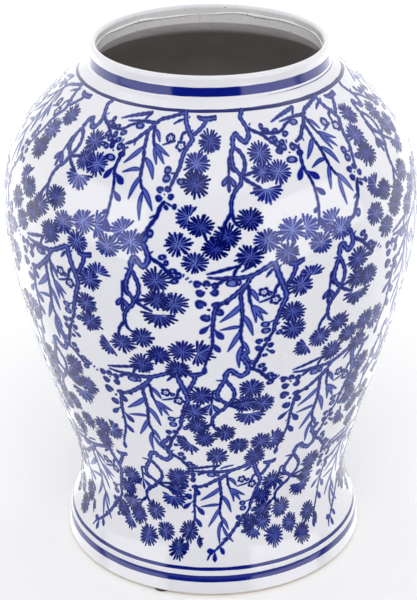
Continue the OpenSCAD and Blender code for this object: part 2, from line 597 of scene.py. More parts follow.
def make_pad(index):
    """A moulded rubber pad: chamfered edge, pressed a little into a barrel, two ridges on its
    sole."""
    node = f"foot_pad_{index}"
    low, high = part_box(node)
    centre = ((low.x + high.x) / 2 / MM, (low.y + high.y) / 2 / MM)
    radius = (high.x - low.x) / 2 / MM
    thick = (high.z - low.z) / MM
    hub = 0.4
    runs = [
        (line_run((radius - 0.5, 0), (radius - 0.12, 0.3), 2), 0, False),
        (arc_run((radius - 1.0, thick / 2), 1.0, -38, 38, 8), 0, False),
        (line_run((radius - 0.3, thick - 0.25), (hub, thick), 6), 0, False),
        (line_run((hub, thick), (hub, 0.25)), 0, False),
        (line_run((hub, 0.25), (radius * 0.45, 0.25), 3), 0, False),
        (arc_run((radius * 0.45 + 0.5, 0.2), 0.5, 180, 360, 6) * [1, 0.4], 0, False),
        (line_run((radius * 0.45 + 1.0, 0.25), (radius - 0.5, 0), 4), 0, False),
    ]
    stretches = []
    for points, material, outer in runs:
        if stretches:
            points = np.concatenate([stretches[-1][0][-1:], points[1:]])
        stretches.append((points, material, outer))
    stretches[-1][0][-1] = stretches[0][0][0]
    return place(lathe(f"rubber_pad_{index}", stretches, [RUBBER], 72, centre), "pad_rubber", node)


def make_neck_seam():
    """Inside the neck, slip squeezed out of the lip's joint leaves a low wandering ridge."""
    turns = 360
    theta = np.arange(turns) * 2 * math.pi / turns
    wander = (0.5 * np.sin(3 * theta + 0.4) + 0.35 * np.sin(7 * theta)
              + 0.25 * np.sin(13 * theta + 2))
    size = 1.0 + 0.35 * np.sin(5 * theta + 1) + 0.25 * np.sin(17 * theta)
    section = [(0.3, -0.9), (-0.1, -0.75), (-0.55, -0.2), (-0.5, 0.25), (-0.1, 0.6), (0.3, 0.75)]
    points = []
    for depth, rise in section:
        r = MOUTH_R + depth * np.where(depth < 0, size, 1.0)
        z = LIP_Z + wander + rise * size
        points.append(np.stack([r * np.sin(theta), -r * np.cos(theta), z], 1))
    count = len(section)
    faces = []
    for i in range(count):
        for j in range(turns):
            k = (j + 1) % turns
            a, b = i * turns, (i + 1) % count * turns
            faces.append((a + j, b + j, b + k, a + k))
    piece = make_object("neck_seam_slip", np.concatenate(points), faces, materials=[NECK_INSIDE_LIT])
    return place(piece, "white_glaze")


# ---------------- painting
# The marks reach SUNK below the glaze. Their tops take turns at LIFTS heights, so that those which
# cross don't lie at the same height
SUNK = 0.05
LIFTS = 14


class Paint:
    """One coat of painted marks: thin closed slabs that lie on the glaze, gathered into one
    mesh."""

    def __init__(self, name, height, material, step=0.002, bleed=None, spill=0.0):
        self.name = name
        self.height = height
        self.material = material
        self.step = step
        self.bleed = bleed
        self.spill = spill
        self.points = []
        self.lifts = []
        self.tones = []
        self.faces = []
        self.marks = 0
        self.size = 0

    def add(self, top, top_faces, bottom_faces, side_loops, tone):
        """top are drawn points; the mark's underside repeats them below the glaze."""
        count = len(top)
        start = self.size
        lift = self.height + self.step * (self.marks % LIFTS)
        self.points.append(top)
        self.points.append(top)
        self.lifts.append(np.full(count, lift))
        self.lifts.append(np.full(count, -SUNK))
        self.tones.append(np.full(2 * count, tone))
        self.faces.extend(tuple(start + v for v in face) for face in top_faces)
        self.faces.extend(tuple(start + count + v for v in face[::-1]) for face in bottom_faces)
        for loop, closed in side_loops:
            pairs = list(zip(loop, loop[1:] + loop[:1])) if closed else list(zip(loop, loop[1:]))
            for a, b in pairs:
                self.faces.append((start + a, start + count + a, start + count + b, start + b))
        self.marks += 1
        self.size = start + 2 * count

    def strip(self, middle, widths, closed=False, tone=0.5):
        """A brush stroke along middle points, widths wide, and the pale blue that bled out of
        it."""
        middle = np.asarray(middle, float)
        widths = np.asarray(widths, float)
        if self.bleed:
            self.bleed.strip(middle, widths + self.bleed.spill, closed, tone)
        if closed:
            along = np.roll(middle, -1, 0) - np.roll(middle, 1, 0)
        else:
            along = np.gradient(middle, axis=0)
        along /= np.maximum(np.linalg.norm(along, axis=1), 1e-6)[:, None]
        side = np.stack([-along[:, 1], along[:, 0]], 1) * widths[:, None] / 2
        n = len(middle)
        top = np.concatenate([middle - side, middle + side])
        last = n if closed else n - 1
        quads = [(i, n + i, n + (i + 1) % n, (i + 1) % n) for i in range(last)]
        left = list(range(n))
        right = list(range(n, 2 * n))
        if closed:
            loops = [(left[::-1], True), (right, True)]
        else:
            loops = [(right + left[::-1], True)]
        self.add(top, quads, quads, loops, tone)

    def disc(self, centre, rim, rings, tone):
        """A filled shape round centre; rim are its edge points, clockwise as drawn."""
        centre = np.asarray(centre, float)
        rim = np.asarray(rim, float)
        n = len(rim)
        layers = [centre[None, :]]
        layers += [centre + (rim - centre) * (k + 1) / rings for k in range(rings)]
        top = np.concatenate(layers)
        faces = [(0, 1 + (i + 1) % n, 1 + i) for i in range(n)]
        for k in range(rings - 1):
            a, b = 1 + k * n, 1 + (k + 1) * n
            faces.extend((a + i, a + (i + 1) % n, b + (i + 1) % n, b + i) for i in range(n))
        edge = 1 + (rings - 1) * n
        loop = [edge + i for i in range(n)]
        self.add(top, faces, faces, [(loop[::-1], True)], tone)

    def build(self):
        drawn = np.concatenate(self.points)
        lift = np.concatenate(self.lifts)
        theta = drawn[:, 0] / DRAWING_R
        s = WALL_LENGTH - drawn[:, 1]
        normal = wall_normal(theta, s)
        points = on_wall(theta, s) + normal * lift[:, None]
        piece = make_object(self.name, points, self.faces, normals=normal,
                            materials=[self.material])
        tone = piece.data.attributes.new("tone", "FLOAT", "POINT")
        tone.data.foreach_set("value", np.concatenate(self.tones).astype(np.float32))
        return place(piece, "cobalt_blue")


def smooth_path(points, step=1.3):
    """A soft curve through the points, and for each of its points how far along it is, 0 to 1."""
    points = np.asarray(points, float)
    if len(points) == 2:
        n = max(2, int(np.linalg.norm(points[1] - points[0]) / step))
        t = np.linspace(0, 1, n + 1)
        return points[0] + (points[1] - points[0]) * t[:, None], t
    padded = np.concatenate([2 * points[:1] - points[1:2], points, 2 * points[-1:] - points[-2:-1]])
    made, place_along = [], []
    spans = len(points) - 1
    for i in range(spans):
        a, b, c, d = padded[i:i + 4]
        n = max(2, int(math.ceil(np.linalg.norm(c - b) / step)))
        for k in range(n + (i == spans - 1)):
            t = k / n
            made.append(0.5 * (2 * b + (c - a) * t + (2 * a - 5 * b + 4 * c - d) * t * t
                               + (3 * b - a - 3 * c + d) * t ** 3))
            place_along.append((i + t) / spans)
    return np.array(made), np.array(place_along)


PINE_BLEED = Paint("pine_bleed", 0.02, BLEED, 0.001, spill=0.6)
BRANCH_BLEED = Paint("branch_bleed", 0.02, BLEED, 0.001, spill=0.9)
BLOSSOM_BLEED = Paint("blossom_bleed", 0.02, BLEED, 0.001, spill=0.9)
PAINT = {coat.name: coat for coat in (
    PINE_BLEED,
    BRANCH_BLEED,
    BLOSSOM_BLEED,
    Paint("pine_wash", 0.045, WASH),
    Paint("branch_outlines", 0.08, LINE, bleed=BRANCH_BLEED),
    Paint("branch_fill", 0.12, FILL),
    Paint("bamboo_outlines", 0.08, LINE, bleed=BRANCH_BLEED),
    Paint("bamboo_fill", 0.12, FILL),
    Paint("blossom_wash", 0.08, WASH),
    Paint("blossom_outlines", 0.15, LINE, bleed=BLOSSOM_BLEED),
    Paint("pine_needles", 0.15, LINE, bleed=PINE_BLEED),
)}
# The painter's small irregularities
HAND = np.random.default_rng(11)
# Width of a branch's dark outline
EDGE = 1.06
# How much wider than tall round marks are drawn
ACROSS = 1.06
# How far above and below a brush's pivot its sag works
SAG_REACH = 20.0
MARK_TONE = 0.5
# Pine rosettes: their usual radius, the needles of a whole one, how much larger a whole one and a
# fan are than their stated radius, and how many degrees a fan spreads past its ends and a needle
# strays
PINE_R = 7.6
NEEDLES = 20
WHEEL_SIZE = 0.97
FAN_SIZE = 1.05
FAN_MARGIN = 9
NEEDLE_STRAY = 2.8


def teardrop(along):
    """Width of a drop bud along its length: pointed at its stalk, round at its end."""
    return np.sin(np.pi * np.clip(along, 0.02, 0.98) ** 1.7) ** 0.75


def leaf_shape(along):
    """Width of a leaf along its length: pointed at both ends, widest before its middle."""
    return np.sin(np.pi * np.clip(along, 0.02, 0.985) ** 0.75) ** 0.8


class Brush:
    """Draws marks at a place of the jar. at is the drawn point that the pivot goes to. Places left
    of the pivot are spread by left, places right of it by right, and those near the pivot's height
    hang lower by sag. A mark's own size stays."""

    def __init__(self, at, pivot=(0.0, 0.0), left=1.0, right=1.0, sag=0.0):
        self.at = np.array(at, float)
        self.pivot = np.array(pivot, float)
        self.left = left
        self.right = right
        self.sag = sag

    def there(self, points):
        """Where the brush puts drawn points."""
        away = np.asarray(points, float) - self.pivot
        spread_by = np.where(away[..., 0] < 0, self.left, self.right)
        hang = self.sag * np.clip(1 - np.abs(away[..., 1]) / SAG_REACH, 0, 1)
        return self.at + np.stack([away[..., 0] * spread_by, away[..., 1] + hang], -1)

    def stroke(self, coat, points, widths, rough=0.10):
        path, along = smooth_path(self.there(points))
        widths = np.interp(along, np.linspace(0, 1, len(widths)), widths)
        widths = widths * (1 + rough * np.sin(np.arange(len(widths)) * 1.7 + HAND.uniform(0, 6)))
        ends = np.minimum(np.arange(len(widths)), np.arange(len(widths))[::-1])
        widths = np.where(ends == 0, widths * 0.55, widths)
        PAINT[coat].strip(path, widths, tone=MARK_TONE)

    def branch(self, points, widths, coat="branch"):
        """An outlined branch with a lighter middle, and a dark vein where it is thick."""
        self.stroke(coat + "_outlines", points, widths, rough=0.16)
        inside = [max(w - 2 * EDGE, 0.15) for w in widths]
        if max(widths) > 2 * EDGE + 0.3:
            self.stroke(coat + "_fill", points, inside, rough=0.35)

    def twig(self, points, widths):
        self.stroke("branch_outlines", points, widths)

    def thorns(self, places):
        for x, y in places:
            self.twig([(x, y), (x + 1.7, y - 1.7)], (1.3, 0.5))

    def pointed(self, points, width, shape, coats, edge, tones):
        """An outlined leaf or bud of the given shape, paler inside. tones are added to its edge and
        inside."""
        path, along = smooth_path(self.there(points), min(1.6, 0.8 * width))
        PAINT[coats[0]].strip(path, width * shape(along) + 0.25, tone=MARK_TONE + tones[0])
        inside = np.maximum(width * shape(along) - 2 * edge, 0.1)
        PAINT[coats[1]].strip(path[1:-1], inside[1:-1], tone=MARK_TONE + tones[1])

    def leaf(self, points, width):
        self.pointed(points, width * 0.86, leaf_shape, ("bamboo_outlines", "bamboo_fill"), 0.58,
                     (0.2, 0.1))

    def drop(self, tip, end, width):
        """A drop bud that hangs from its tip."""
        self.pointed([tip, end], width, teardrop, ("blossom_outlines", "blossom_wash"), 0.6,
                     (0.5, 0.3))

    def round_mark(self, x, y, r, tall=1.0):
        """Edge points of a round mark."""
        a = np.linspace(0, 2 * math.pi, 15)[:-1]
        wobble = 1 + 0.07 * np.sin(2 * a + x) + 0.05 * np.sin(3 * a + y)
        edge = [r * np.cos(a) * wobble * ACROSS, r * tall * np.sin(a) * wobble]
        return self.there((x, y)) + np.stack(edge, 1)

    def bud(self, x, y, r, tall=1.0, line=1.05):
        """A round bud: an uneven dark ring round a blue middle."""
        rim = self.round_mark(x, y, r - line / 2, tall)
        widths = np.full(len(rim), line) * (1 + 0.35 * np.sin(np.arange(len(rim)) * 0.9 + x))
        PAINT["blossom_wash"].disc(self.there((x, y)), rim, 1, tone=MARK_TONE + 0.1)
        PAINT["blossom_outlines"].strip(rim, widths, closed=True, tone=MARK_TONE)

    def dot(self, x, y, r):
        PAINT["blossom_outlines"].disc(self.there((x, y)), self.round_mark(x, y, r), 1,
                                       tone=MARK_TONE)

    def blossom(self, x, y, petals, dot):
        """An open plum blossom: dark curled petals round a white heart with one dark dot. petals
        are (x, y, radius) from the heart."""
        heart = self.there((x, y))
        for dx, dy, r in petals:
            out = math.atan2(dy, dx)
            middle = heart + np.array((dx, dy)) * 0.98
            a = out + np.radians(np.linspace(-168, 168, 15))
            ring = np.stack([np.cos(a) * ACROSS, np.sin(a)], 1)
            bend = np.abs(np.linspace(-1, 1, 15) + 0.15 * math.sin(3 * out))
            widths = (1.9 - 1.2 * bend ** 1.2) * (r / 2.4) ** 0.5
            rim = middle + ring * (r * 0.93 - 0.6) * (1 + 0.14 * np.sin(3 * a + dx))[:, None]
            PAINT["blossom_wash"].disc(middle, rim, 1, tone=MARK_TONE - 0.5)
            PAINT["blossom_outlines"].strip(rim, widths, tone=MARK_TONE)
        self.dot(x, y, dot)

    def small_blossom(self, x, y, r):
        """A closed ring of petals round a white middle."""
        a = np.linspace(0, 2 * math.pi, 21)[:-1]
        edge = (r - 0.75) * (1 + 0.16 * np.cos(5 * a + x))
        rim = self.there((x, y)) + np.stack([edge * np.cos(a) * ACROSS, edge * np.sin(a)], 1)
        widths = 1.5 * (1 + 0.35 * np.sin(np.arange(20) * 1.57 + y))
        PAINT["blossom_outlines"].strip(rim, widths, closed=True, tone=MARK_TONE)
        self.dot(x, y, 0.5)

    def rosette(self, x, y, r, fan, wash, dark):
        """Pine needles: a pale scalloped wash with dark needles spread over it like a wheel, or
        like a fan from its first angle to its last, in degrees clockwise from the right."""
        centre = self.there((x, y))
        start, sweep = 0.0, 360.0
        if fan is not None:
            start, sweep = fan[0] - FAN_MARGIN, fan[1] - fan[0] + 2 * FAN_MARGIN
        count = max(5, round(NEEDLES * sweep / 360) + (fan is not None))
        r = r * (WHEEL_SIZE if fan is None else FAN_SIZE)
        turn = HAND.uniform(0, 360 / count) if fan is None else 0.0
        angles = start + turn + np.arange(count) * sweep / (count if fan is None else count - 1)
        angles = np.radians(angles + HAND.normal(0, NEEDLE_STRAY, count))
        self.rosette_wash(centre, r, start, sweep, wash, dark + HAND.uniform(-0.1, 0.25))
        for number, angle in enumerate(angles):
            length = r * (1 + HAND.normal(0, 0.07))
            way = np.array([math.cos(angle) * ACROSS, math.sin(angle)])
            inner = r * (0.14, 0.36, 0.26)[number % 3]
            stations = np.array([inner, length * 0.76, length])
            widths = np.array([0.30, 1.34, 0.85]) * (r / PINE_R) ** 0.5
            PAINT["pine_needles"].strip(centre + way * stations[:, None], widths, tone=dark)
        for k in range(2 if fan is None else 0):
            spot = centre + HAND.normal(0, r * 0.10, 2)
            tick = spot + np.array([[0, 0], HAND.normal(0, 1.2, 2)])
            PAINT["pine_needles"].strip(tick, [0.8, 0.4], tone=dark)

    def rosette_wash(self, centre, r, start, sweep, wash, tone):
        full = sweep >= 359
        n = 44 if full else max(14, int(44 * sweep / 360))
        a = np.radians(np.linspace(start, start + sweep, n + 1))
        if full:
            a = a[:-1]
        edge = r * ((0.74 if full else 0.84) + 0.05 * np.sin(a * 9)
                    + 0.04 * np.sin(a * 4 + centre[0]))
        middle = centre + np.array(wash) * full
        rim = middle + np.stack([edge * np.cos(a) * ACROSS, edge * np.sin(a)], 1)
        if not full:
            rim = np.concatenate([rim, [middle]])
            half = math.radians(start + sweep / 2)
            middle = middle + 0.35 * r * np.array([math.cos(half), math.sin(half)])
        PAINT["pine_wash"].disc(middle, rim, 3, tone=tone)


# Petals of the small plum blossoms: (x, y, radius) from the heart
SMALL_PETALS = ((-2.9, -2.4, 2.2), (1.6, -3.0, 2.1), (-3.0, 2.4, 2.2), (3.6, 1.2, 2.0))


def pine_trunk(brush, stretch, drop):
    """The trunk that hangs from the row above, bends back and splits round an eye. stretch widens
    and lengthens its first bends, drop lengthens what hangs below the eye."""
    sx, sy = stretch
    trunk = [(0.6, -3.5), (-0.6, -1.5), (-2.2, 1.5), (-0.9, 5), (0.6, 9), (0.4, 13.5), (-2.1, 16.4),
             (-4.8, 14), (-6.4, 11.4), (-8.4, 13.8), (-9.0, 19)]
    brush.branch([(x * sx, y * sy) for x, y in trunk],
                 [2.6, 3.4, 3.5, 3.2, 3.3, 3.4, 3.8, 3.3, 3.4, 3.6, 3.2])
    joint = (-7.6, 39.5)
    neck = (trunk[-1][0] * sx, trunk[-1][1] * sy)
    brush.branch([neck, (-11.2 * sx ** 0.5, 25.5), (-12.2, 30), (-11.6, 34), (-9.6, 37), joint],
                 [2.9, 3.0, 3.0, 2.8, 2.6, 2.7])
    brush.branch([neck, (-6.6 * sx ** 0.5, 24), (-4.9, 29), (-5.0, 34), (-6.1, 37), joint],
                 [2.7, 2.6, 2.5, 2.5, 2.5, 2.7])
    for points, widths in (
            ([joint, (-4.4, 39), (-0.8, 37.8), (3.5, 36.5)], [2.4, 2.0, 1.8, 1.2]),
            ([joint, (-4.9, 41.8), (-0.8, 44.3), (2.5, 46)], [2.3, 2.2, 2.0, 1.4]),
            ([joint, (-9.3 + 2 * (drop - 1), 43.4), (-11.8, 46.2), (-14.2, 51), (-14.4, 56.5)],
             [2.8, 2.7, 2.6, 2.5, 2.2]),
            ([(-14.4, 55.5), (-16.4, 58.5), (-18.3, 61.5), (-19.6, 67)], [2.2, 2.1, 1.9, 1.3]),
            ([(-14.2, 55.5), (-13.2, 60), (-10, 63)], [2.0, 1.8, 1.3])):
        hung = [(x, y if y < joint[1] else joint[1] + (y - joint[1]) * drop) for x, y in points]
        brush.branch(hung, widths)
    brush.twig([(-11, 28.2), (-13.9, 28.2), (-14.3, 33), (-14.7, 39)], (1.7, 1.7, 1.5, 1.3))
    brush.twig([(-14, 33), (-12.4, 35.6), (-10.4, 37)], (1.5, 1.8, 1.6))
    for tip, end, width in (((-14.8, 38.4), (-18.6, 45.4), 3.2),
                            ((-14.8, 39.4), (-15.2, 49.2), 2.0),
                            ((-14.6, 38.8), (-11.2, 46.4), 3.4)):
        brush.pointed([tip, end], width, teardrop, ("branch_outlines", "branch_fill"), 0.9,
                      (0.0, 0.0))
    brush.twig([(-9.4, 19.5), (-12.9, 19.2)], (1.4, 0.6))
    brush.thorns([(x * sx, y) for x, y in ((-3.0, 0.5), (1.9, 8), (-6.4, 15.6), (-13.0, 49),
                                           (-11.0, 44.4))])


def plum_branch(brush, size):
    """The short plum branch on the right of the trunk."""
    def far(x, y):
        return x * size, 10 + (y - 10) * (0.5 + 0.5 * size)
    path = ((0.8, 9.5), (3.6, 11.6), (7.6, 14), (10, 17), (13.6, 21), (15.8, 23.4))
    brush.branch([far(x, y) for x, y in path], [2.4, 2.3, 2.4, 2.3, 2.2, 1.8])
    for x, y, r in ((8.6, 9.6, 2.0), (10.6, 13, 1.7), (14.2, 17.8, 2.1), (17.2, 20.4, 2.1),
                    (15.0, 24.2, 2.1)):
        brush.bud(*far(x, y), r, line=1.4)
    for x, y, dx, dy in ((19.4, 21.5, 0.9, -2.5), (20.8, 23, 2.0, -1.9), (22.6, 24.6, 2.0, -1.2)):
        brush.twig([far(x, y), far(x + dx, y + dy)], (0.7, 1.0))


def bamboo(brush):
    """The hanging bamboo with its pointed leaves."""
    for points, widths in (
            ([(53.5, 24.5), (52, 28), (49.9, 32), (50.4, 40), (51, 48)], [2.9, 2.6, 2.4, 2.5, 2.3]),
            ([(51, 47.5), (50.5, 54), (50, 61), (51.4, 67)], [2.3, 2.2, 2.2, 1.9]),
            ([(51.4, 66.5), (51.6, 70), (51.2, 73.5)], [1.8, 1.6, 1.2]),
            ([(53.6, 26), (54.4, 31), (54.6, 36), (56, 41)], [2.2, 2.0, 1.9, 1.4])):
        brush.branch(points, widths, "bamboo")
    for points, width in (
            ([(55, 29), (57.6, 33.5), (59.6, 38)], 3.0),
            ([(55.6, 40), (60, 43.6), (65, 47.6)], 3.0),
            ([(55.6, 40), (59.6, 46), (62.6, 52)], 3.0),
            ([(55.6, 40), (57.6, 46), (58.6, 53)], 2.6),
            ([(50.4, 39), (46, 44.5), (38.5, 51)], 3.8),
            ([(51.2, 46.5), (54.6, 53), (57.2, 62)], 3.6),
            ([(50.2, 54.6), (45.5, 55), (38.5, 56.6)], 2.5),
            ([(50.2, 57.5), (47, 65), (43, 73)], 3.2),
            ([(51.2, 65.5), (53.6, 70), (55.6, 75.5)], 2.8),
            ([(50.8, 69), (49.4, 77), (50, 86)], 3.0),
            ([(51.8, 72.5), (54.4, 79), (58.5, 84.5)], 2.6)):
        brush.leaf(points, width)


def upper_branch(brush):
    """The branch that carries the bamboo and the plum flowers, from its stem at the top right."""
    for points, widths in (
            ([(32, 20.5), (38, 21.3), (44, 21), (50, 21.3), (56, 20.3), (62, 17.2), (68, 13.6)],
             [1.2, 1.9, 2.4, 2.6, 2.8, 2.9, 3.3]),
            ([(56.5, 20.2), (54.5, 22.5), (53.5, 25.5)], [2.8, 2.8, 2.6]),
            ([(31.5, 18.6), (37, 17.2), (43, 15.4), (50, 13.6)], [0.9, 1.9, 2.1, 1.2]),
            ([(50, 13.6), (47.5, 16), (46.2, 19.5), (46.4, 21.5)], [1.3, 1.7, 1.7, 1.4]),
            ([(44, 21), (40, 23), (37.5, 25.4)], [2.2, 2.2, 1.8]),
            ([(53, 25), (50, 29), (47, 32.2), (42, 36.6), (37, 39)], [2.5, 2.8, 2.9, 2.7, 2.2])):
        brush.branch(points, widths)
    brush.bud(45.2, 24.6, 3.0, 0.85)
    brush.bud(48.6, 24.2, 1.9)
    brush.twig([(50, 17.8), (53.5, 15.5), (57.5, 14)], (0.9, 1.4, 0.7))
    brush.blossom(31.6, 27.6, ((-4.6, -2.6, 2.4), (0.2, -2.9, 2.2), (-3.2, 3.0, 2.5),
                               (4.4, -1.8, 2.3), (4.2, 2.9, 2.4)), 0.7)
    brush.dot(42.4, 37.6, 1.4)
    brush.blossom(32.8, 42.0, ((-4.4, -3.6, 3.0), (-1.6, 5.6, 2.8), (3.9, -3.0, 2.6),
                               (5.6, 2.0, 2.5)), 1.0)


def hanging_stem(brush):
    """The thin stem with drop-shaped buds, left of the bamboo."""
    brush.branch([(36.8, 39.5), (35.6, 45), (35, 51), (34.6, 58)], [2.7, 2.6, 2.4, 2.1])
    brush.branch([(34.6, 57), (34.6, 66), (33.3, 73), (31.3, 79), (30, 84)],
                 [2.0, 1.8, 1.7, 1.6, 1.3])
    brush.twig([(34.8, 51.4), (32.8, 53.6)], (1.1, 0.9))
    brush.drop((33.4, 52.8), (27.6, 59.2), 3.3)
    brush.twig([(34.6, 54), (36.4, 57)], (1.1, 0.9))
    brush.drop((35.4, 55.6), (40.6, 63.4), 4.0)
    brush.drop((34.0, 65.2), (38.9, 73), 3.5)
    brush.drop((30.2, 82.6), (29.6, 90.4), 3.3)
    brush.twig([(34.1, 60.5), (32.6, 62.4)], (0.9, 0.5))


def right_branch(brush, curled):
    """The long branch that runs down on the right of the bamboo, with its stub, twig and flowers.
    Where there is no row below, its end is curled and bears three drops."""
    for points, widths in (
            ([(68, 12.6), (70, 20), (72, 26), (74.6, 33), (75.4, 37.4)], [3.6, 3.6, 3.6, 3.5, 3.4]),
            ([(75.4, 36.6), (73, 43), (71, 50), (69.2, 56), (69, 61)], [3.2, 3.0, 2.8, 2.6, 2.3]),
            ([(69, 60), (66, 65.5)], [2.2, 1.6]),
            ([(75.6, 30), (77.6, 25.4), (79.8, 20.5), (80.2, 16.6)], [2.9, 2.7, 2.7, 3.2]),
            ([(75.6, 15.4), (80, 16.4), (85.6, 14.8)], [2.0, 3.4, 2.6]),
            ([(67.2, 17.4), (65.2, 20), (63.4, 22.6)], [2.0, 1.7, 0.7]),
            ([(71.4, 27), (69, 30.4), (68.3, 34), (66.4, 36.6)], [1.9, 1.9, 1.7, 1.4])):
        brush.branch(points, widths)
    brush.twig([(75.4, 14.3), (80, 15.0), (85.6, 13.6)], (1.2, 1.5, 1.3))
    brush.thorns(((70.6, 17), (74.4, 28), (74.6, 41), (72.4, 47.5), (70.6, 56)))
    brush.small_blossom(62.4, 32.0, 3.0)
    brush.small_blossom(69.0, 38, 3.2)
    brush.bud(65.8, 33.4, 1.5)
    brush.twig([(59.6, 38.8), (63.4, 37.6), (66.4, 36.4)], (0.7, 1.4, 1.2))
    brush.twig([(70.4, 51.5), (67.6, 53), (65.6, 53.6)], (1.0, 0.8))
    for x, y, r in ((63.9, 54.6, 2.3), (64.4, 59.2, 2.4), (72.2, 61.6, 1.8), (69.0, 75.8, 1.5),
                    (64.6, 77.6, 1.4)):
        brush.bud(x, y, r)
    brush.blossom(63.8, 69.2, SMALL_PETALS, 0.5)
    brush.twig([(65.2, 72.6), (66.6, 74.4), (68.4, 75.2)], (1.2, 1.0))
    if curled:
        brush.branch([(65.8, 64.6), (60.5, 73), (56, 80), (52.6, 84), (47, 90)],
                     [1.8, 2.4, 2.6, 2.2, 1.6])
        brush.branch([(47.6, 89.4), (44, 92.6), (42.2, 96.6)], [1.8, 1.6, 0.9])
        brush.drop((49.6, 86.6), (52.6, 92.6), 3.4)
        brush.drop((47.2, 90), (42, 90.4), 3.6)
        brush.drop((46.8, 90.6), (46.8, 97.6), 3.6)
        brush.twig([(55, 81), (51.4, 82.4)], (1.4, 0.6))
    else:
        brush.branch([(65.5, 68), (62.3, 74), (61, 79), (58.9, 84), (59, 87)],
                     [1.9, 2.3, 2.3, 2.0, 1.3])
        brush.twig([(61, 78), (58.6, 80.2)], (1.0, 0.8))
        brush.bud(57.6, 82.0, 1.8)


def top_row_branches(brush):
    """The top row's own branches: wider spread than below, with knotted flowers and dark upper
    strokes."""
    for points, widths in (
            ([(-67, 31), (-58, 30), (-50, 29.5), (-43, 29.6), (-39.5, 26.8), (-33, 25), (-27, 23),
              (-20, 21)],
             [0.8, 1.8, 2.2, 2.6, 2.6, 2.4, 2.3, 3.2]),
            ([(-74, 30.5), (-66, 27.6), (-57, 25.2), (-48, 23)], [0.8, 2.0, 2.7, 2.2]),
            ([(-48.6, 23.4), (-52, 27), (-53.4, 30.4)], [1.6, 1.6, 1.4]),
            ([(-29, 29.4), (-25, 27), (-21, 25.6)], [0.8, 1.8, 1.6]),
            ([(-56, 31), (-63, 33.6), (-68, 37), (-75, 37.6), (-84, 36.4)],
             [1.3, 1.9, 1.9, 2.4, 2.0]),
            ([(-44, 30.5), (-46.5, 34.5), (-51, 38.5), (-55, 43), (-61, 46)],
             [2.5, 2.7, 2.6, 2.4, 1.8]),
            ([(-54.4, 42), (-54, 46.4)], [1.4, 0.7]),
            ([(-64.6, 46), (-60.4, 50), (-61.6, 57), (-62, 62), (-60.8, 67)],
             [2.0, 2.6, 2.4, 2.2, 2.0]),
            ([(-60.8, 66), (-59.4, 72), (-59, 79), (-59.4, 88), (-61.4, 99)],
             [1.9, 1.7, 1.6, 1.5, 1.2]),
            ([(-20.5, 19.6), (-19.2, 27), (-16.2, 33), (-13.2, 38.4), (-13.2, 41)],
             [3.6, 3.6, 3.6, 3.5, 3.3]),
            ([(-13.2, 40), (-17, 45.4), (-19, 52), (-19.7, 58)], [3.2, 3.0, 2.8, 2.5]),
            ([(-19.7, 57), (-22, 63), (-24.4, 70)], [2.5, 2.3, 1.6]),
            ([(-26, 77.4), (-28.6, 81), (-30.4, 87), (-34, 93), (-36.6, 97.6), (-42, 101)],
             [2.0, 2.4, 2.3, 2.2, 2.2, 1.4]),
            ([(-12.6, 36), (-8.4, 32.6), (-4.6, 28.6), (-3, 26)], [2.7, 2.8, 2.9, 3.2]),
            ([(-11, 23.6), (-5, 25.4), (5.4, 24.6)], [1.6, 3.4, 2.8]),
            ([(-17, 33.6), (-20.4, 35.4), (-21, 38.4), (-21, 41.4)], [1.8, 2.0, 1.8, 1.4])):
        brush.branch(points, widths)
    brush.twig([(-11, 23.2), (-4, 24.2), (5.4, 23.2)], (1.2, 1.7, 1.5))
    brush.twig([(-34, 43.6), (-29, 41.6), (-24.6, 40)], (0.7, 1.5, 1.2))
    brush.twig([(-30.6, 86), (-34.4, 88.2)], (1.5, 0.7))
    brush.twig([(-20.6, 60.4), (-25, 60.8)], (1.1, 1.0))
    brush.twig([(-25.6, 78.4), (-21.4, 80.6)], (1.2, 1.0))
    brush.thorns(((-17.8, 25), (-14.4, 34), (-16, 43), (-18.6, 49.6), (-60, 49), (-29.6, 83)))
    for x, y, r, tall in ((-55.2, 33, 3.1, 0.75), (-66, 39.4, 2.5, 0.7), (-73, 36.4, 2.2, 0.8),
                          (-80.4, 35.4, 2.7, 0.8), (-78, 42, 2.3, 1), (-74.4, 44.8, 2.3, 1),
                          (-70.6, 47.4, 2.3, 1), (-75, 49.8, 2.2, 0.9), (-68, 56.2, 3.4, 0.66),
                          (-64.4, 48.4, 2.3, 1), (-60.8, 53, 2.2, 1), (-27, 59, 2.5, 0.9),
                          (-27, 64, 2.7, 0.85), (-18, 65.6, 2.3, 1), (-25.4, 81.2, 1.4, 1),
                          (-20.6, 80.4, 1.5, 1), (-33.2, 97, 2.1, 1.2)):
        brush.bud(x, y, r, tall, line=1.3)
    brush.dot(-68, 51.6, 0.7)
    brush.small_blossom(-29, 38.6, 3.3)
    brush.small_blossom(-20.6, 43.4, 3.4)
    brush.blossom(-27, 73.6, SMALL_PETALS, 0.5)
    for tip, end, width in (((-62.4, 60.6), (-67.6, 69.4), 3.7),
                            ((-60.6, 64.6), (-53.6, 70.8), 4.2),
                            ((-59, 74.8), (-53, 80.8), 3.4), ((-59.4, 86.4), (-62.8, 90), 2.6),
                            ((-60, 92.4), (-57.2, 99.8), 3.4)):
        brush.drop(tip, end, width)


